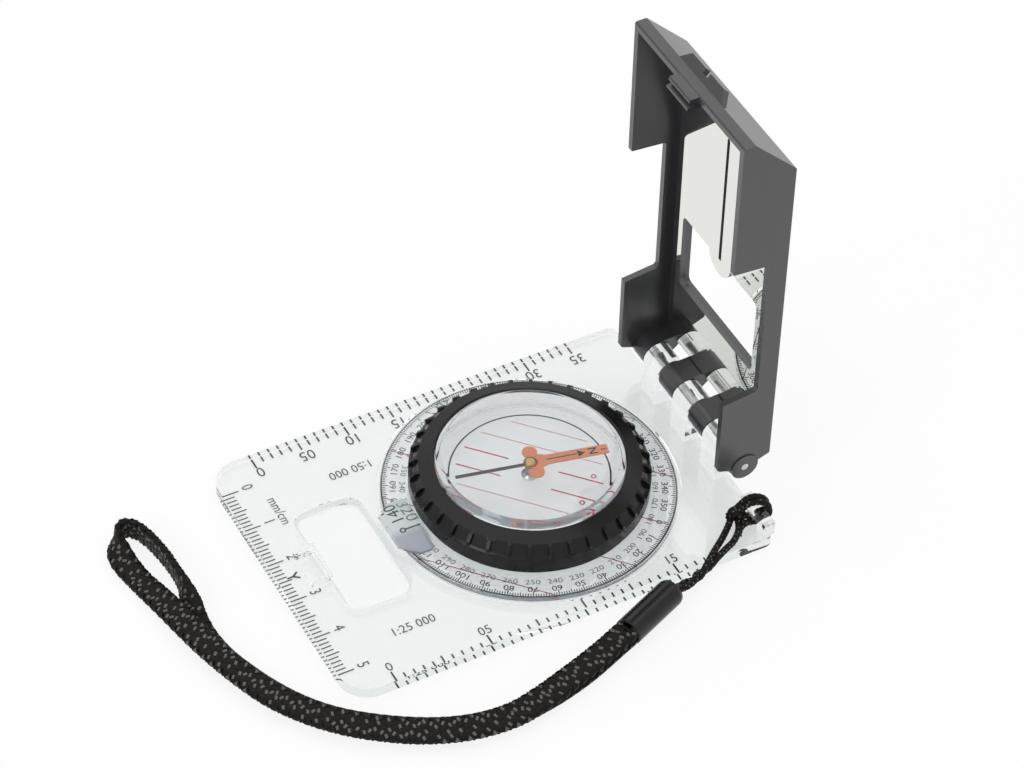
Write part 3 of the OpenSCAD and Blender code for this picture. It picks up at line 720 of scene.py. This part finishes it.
def floorLines():
    # lines on the capsule's floor, along north, and two small rings at the north end
    look, parts = floorInk, []
    for offset, half, hole in look["lines"]:
        for side in (-1, 1):
            parts += northLine(side * offset, half, look["reach"], hole, look["z"])
    along, aside = look["spot"]
    for side in (-1, 1):
        spot = Matrix.Rotation(math.radians(dialInk["north"]), 2) @ Vector((along, side * aside))
        parts.append(hoop(*look["spotRing"], look["z"], spot.x, spot.y, look["spotSides"]))
    return parts


printed("floorLines", floorLines(), inkFloor, "dial")
printed("floorRing", [hoop(*floorInk["ring"], floorInk["z"])], inkBlack, "dial")

# needle's own print, on the pointer's upper face: stem and tail, north's letter, arrow head
_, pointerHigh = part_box("needle_pointer")
needleInk = {"turn": 77.8, "z": pointerHigh.z / mm + 0.012, "half": 0.1, "lines": ((3.2, 9.2), (13.9, 15.0)),
             "letter": (2.3, 12.3), "weight": 0.03, "head": (9.9, 0.95)}


def needleMarks():
    look = needleInk
    parts = [mark(low, -look["half"], high, look["half"], look["z"]) for low, high in look["lines"]]
    size, along = look["letter"]
    parts.append(word("N", size, along, 0, look["z"], -90, 1.0, look["weight"]))
    clearSelection()
    along, radius = look["head"]
    bpy.ops.mesh.primitive_circle_add(vertices=3, radius=radius * mm, fill_type="NGON",
                                      location=fromDial(along, 0, look["z"]),
                                      rotation=(0, 0, math.radians(-90)))
    bpy.ops.object.transform_apply(location=True, rotation=True)
    parts.append(bpy.context.object)
    return [turnMark(part, look["turn"]) for part in parts]


printed("needlePrint", needleMarks(), inkBlack, "needle")

# what the small magnifier shows: the number under it, enlarged, on a pale field with the index line
magnified = {"z": 4.1, "under": 0.05, "half": 6.8, "top": -24.0, "shoulder": -26.9, "foot": -30.0,
             "footHalf": 4.2, "fade": (0.2, 2.2), "numbers": rgb(0.82, 0.88, 0.87),
             "past": rgb(0.5, 0.53, 0.6), "roughness": 0.5,
             "outer": ("140", 3.4, -3.5, -27.3, 180, 1.05), "inner": ("320", 3.3, -3.2, -24.9, 0, 1.15),
             "lines": ((-4.6, -29.6, -4.3, -28.9), (0.7, -27.1, 1.0, -24.1)),
             "index": (0.85, -27.7), "indexRing": (0.35, 0.6), "indexSides": 32}


def fieldPlate():
    # a rectangle whose lower edge is extruded and drawn in
    look = magnified
    clearSelection()
    piece = mark(-look["half"], look["shoulder"], look["half"], look["top"], look["z"] - look["under"])
    bpy.ops.object.mode_set(mode="EDIT")
    bpy.ops.mesh.select_mode(type="EDGE")
    bpy.ops.mesh.select_all(action="DESELECT")
    bpy.ops.object.mode_set(mode="OBJECT")
    low = min(v.co.y for v in piece.data.vertices)
    for edge in piece.data.edges:
        edge.select = all(piece.data.vertices[v].co.y < low + 0.01 * mm for v in edge.vertices)
    bpy.ops.object.mode_set(mode="EDIT")
    down = (look["foot"] - look["shoulder"]) * mm
    bpy.ops.mesh.extrude_region_move(TRANSFORM_OT_translate={"value": (0, down, 0)})
    bpy.ops.transform.resize(value=(look["footHalf"] / look["half"], 1, 1),
                             center_override=fromDial(0, look["foot"], 0))
    bpy.ops.object.mode_set(mode="OBJECT")
    return piece


def fieldFinish():
    # mint at the numbers' end, blue-grey past the index line
    make = Finish("magnifiedField")
    along = make.add("ShaderNodeSeparateXYZ", None, {0: make.place()}, take="X")
    start, end = (dialCentre.x + x * mm for x in magnified["fade"])
    past = make.add("ShaderNodeMapRange", None, {0: along, 1: start, 2: end})
    shade = make.mixColour(past, magnified["numbers"], magnified["past"])
    return make.finish(make.surface(Base_Color=shade, Roughness=magnified["roughness"]))


def enlarged(body, size, x, y, degrees, squeeze):
    return word(body, size, x, y, magnified["z"], degrees, squeeze)


def magnifiedMarks():
    # the outer number, two short index lines and a ring
    look = magnified
    parts = [enlarged(*look["outer"])]
    parts += [mark(*corners, look["z"]) for corners in look["lines"]]
    x, y = look["index"]
    return parts + [hoop(*look["indexRing"], look["z"], x, y, look["indexSides"])]


printed("magnifiedField", [fieldPlate()], fieldFinish(), "base")
printed("magnifiedOuter", magnifiedMarks(), inkBlack, "base")
printed("magnifiedInner", [enlarged(*magnified["inner"])], inkGreen, "base")
print("dial printed")

frostLook = {"cloud": 90.0, "uneven": 0.08, "least": 0.11, "colour": rgb(0.72, 0.79, 0.85),
             "rings": [(28.3, 2.06), (28.3, 2.08)]}


def frostFinish():
    # a faint frost on the dial, under its prints
    look = frostLook
    make = Finish("dialFrost")
    cloud = make.noise(look["cloud"])
    white = make.add("ShaderNodeBsdfDiffuse", None, {"Color": look["colour"]})
    clearPart = make.add("ShaderNodeBsdfTransparent", None, {"Color": rgb(1, 1, 1)})
    share = cloud * look["uneven"] + look["least"]
    return make.finish(make.add("ShaderNodeMixShader", None, {0: share, 1: clearPart, 2: white}))


frost = turned("dialFrost", frostLook["rings"], frostFinish())
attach(frost, "dial")


edgeLook = {"segments": 2, "angle": 35, "smooth": 30}


def refined(name, finish, body, width=0):
    # a copy of the part with its edges broken, as the mould leaves them
    clearSelection()
    nodes[name].select_set(True)
    bpy.context.view_layer.objects.active = nodes[name]
    bpy.ops.object.duplicate()
    piece = bpy.context.object
    piece.name = name + "Broken"
    if width:
        edge = piece.modifiers.new("edge", "BEVEL")
        edge.width = width * mm
        edge.segments = edgeLook["segments"]
        edge.limit_method = "ANGLE"
        edge.angle_limit = math.radians(edgeLook["angle"])
        bpy.ops.object.modifier_apply(modifier="edge")
    bpy.ops.object.shade_smooth_by_angle(angle=math.radians(edgeLook["smooth"]))
    piece.data.materials.clear()
    piece.data.materials.append(finish)
    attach(piece, body)
    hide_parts(name)
    return piece


refined("cover_shell", coverGrey, "cover", width=0.15)
refined("grip_ring", ringBlack, "dial", width=0.22)
refined("map_lens", clearLens, "base")
refined("bearing_magnifier", clearLens, "base")
print("edges broken")

nodeFinish = {
    "baseplate": clear, "map_lens": clearLens, "bearing_magnifier": clearLens,
    "dial_disc": clear, "capsule_wall": clear, "capsule_window": clear, "grip_ring": ringBlack,
    "needle_pivot": steel, "needle_hub": brass, "needle_jewel": jewelRed,
    "needle_magnet": needleSteel, "needle_pointer": orangePaint,
    "cover_shell": coverGrey, "mirror": mirrorSilver, "hinge_pin": steel,
    "tie_hitch": cordBlack, "tie_knot": cordBlack, "tie_strand_left": cordBlack,
    "tie_strand_right": cordBlack, "strap_ferrule": ferruleBlack, "strap_tape": cordBlack,
}
for name, finish in nodeFinish.items():
    nodes[name].data.materials.clear()
    nodes[name].data.materials.append(finish)

# studio: a pale floor and soft light from above; a lamp has its energy, size and place
studio = {"floor": 3.0, "gap": 0.3, "paper": rgb(0.93, 0.93, 0.93), "glow": 0.85, "under": 0.6,
          "world": 0.78, "key": (3.3, 1.3, (-0.35, 0.25, 0.9)), "front": (1.1, 0.3, (0.22, -0.72, 0.55)),
          "aim": (0, 0, 0.02)}


def makeFloor():
    # it glows evenly to the eye and in the mirror, and less through the clear plastic
    bpy.ops.mesh.primitive_plane_add(size=studio["floor"], location=(0, 0, -studio["gap"] * mm))
    floor = bpy.context.object
    floor.name = "floor"
    make = Finish("floorWhite")
    paper = make.add("ShaderNodeBsdfDiffuse", None, {"Color": studio["paper"]})
    glow = make.add("ShaderNodeEmission", None, {"Color": rgb(1, 1, 1), "Strength": 1.0})
    camera = make.add("ShaderNodeLightPath", take="Is Camera Ray")
    glossy = make.add("ShaderNodeLightPath", take="Is Glossy Ray")
    through = make.add("ShaderNodeLightPath", take="Is Transmission Ray")
    mirrored = glossy - glossy * through
    share = (camera + mirrored) * studio["glow"] + through * studio["under"]
    white = make.add("ShaderNodeMixShader", None, {0: share, 1: paper, 2: glow})
    floor.data.materials.append(make.finish(white))


def makeLight():
    world = bpy.data.worlds.new("studio")
    bpy.context.scene.world = world
    world.use_nodes = True
    world.node_tree.nodes["Background"].inputs["Color"].default_value = rgb(1, 1, 1)
    world.node_tree.nodes["Background"].inputs["Strength"].default_value = studio["world"]
    for energy, size, place in (studio["key"], studio["front"]):
        bpy.ops.object.light_add(type="AREA", location=place)
        lamp = bpy.context.object
        lamp.data.energy = energy
        lamp.data.size = size
        aim = Vector(studio["aim"]) - lamp.location
        lamp.rotation_euler = aim.to_track_quat("-Z", "Y").to_euler()


makeFloor()
makeLight()
print("studio lit")
